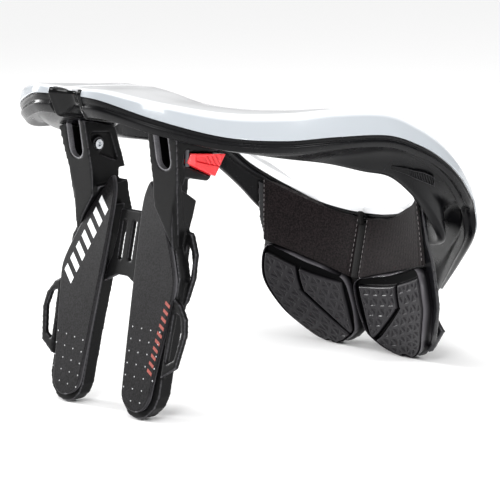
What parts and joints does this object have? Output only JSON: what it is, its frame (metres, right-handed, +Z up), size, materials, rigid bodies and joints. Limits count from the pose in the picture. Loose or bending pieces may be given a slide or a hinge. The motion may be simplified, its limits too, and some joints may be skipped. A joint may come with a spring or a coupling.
{
  "type": "motocross neck brace",
  "caption": "Wearable neck brace: a contoured collar that rings the neck, held off the back by two long wings and resting on the chest by soft pads",
  "frame": {"origin": "bottom centre of the whole bounding box, on the surface it stands on", "axes": "+X the wearer's right, +Y the wearer's front, +Z up"},
  "size_m": [0.2262, 0.3382, 0.1921],
  "materials": {
    "white_shell": "glossy moulded shell, white with a pale grey border",
    "black_plastic": "black moulded plastic with a low sheen",
    "saddle_plastic": "smooth dark plastic",
    "liner_cloth": "dark woven lining",
    "pad_rubber": "moulded rubber with a triangle tread",
    "seam_tape": "dark stitched tape",
    "charcoal_plastic": "charcoal plastic, fine grain",
    "strut_plastic": "dark glass-filled nylon, fine grain",
    "red_plastic": "red moulded plastic",
    "steel": "bright steel"
  },
  "bodies": {
    "brace": {"collar_shell_right": "white_shell", "collar_shell_left": "white_shell", "collar_body_right": "black_plastic", "collar_body_left": "black_plastic", "back_saddle": "saddle_plastic", "cloth_liner_right": "liner_cloth", "cloth_liner_left": "liner_cloth", "chest_pad_right": "pad_rubber", "chest_pad_left": "pad_rubber", "chest_shell_right": "black_plastic", "chest_shell_left": "black_plastic", "seam_strip": "seam_tape", "seam_tie": "seam_tape", "wing_plate_right": "charcoal_plastic", "wing_plate_left": "charcoal_plastic", "release_pin_right": "steel", "release_pin_left": "steel", "rear_strut_right": "strut_plastic", "rear_strut_left": "strut_plastic", "strut_bolt_right": "steel", "strut_bolt_left": "steel", "wing_bridge": "strut_plastic"},
    "release_tab_right": {"release_tab_right": "red_plastic"},
    "release_tab_left": {"release_tab_left": "red_plastic"}
  },
  "joints": [
    {"name": "release_tab_right", "type": "hinge", "parent": "brace", "child": "release_tab_right", "pos_m": [0.0491, -0.11965, 0.15], "axis": [0, 0, -1], "range_deg": [0, 25], "stiffness_Nm_per_rad": 0.02},
    {"name": "release_tab_left", "type": "hinge", "parent": "brace", "child": "release_tab_left", "pos_m": [-0.0491, -0.11965, 0.15], "axis": [0, 0, 1], "range_deg": [0, 25], "stiffness_Nm_per_rad": 0.02}
  ]
}
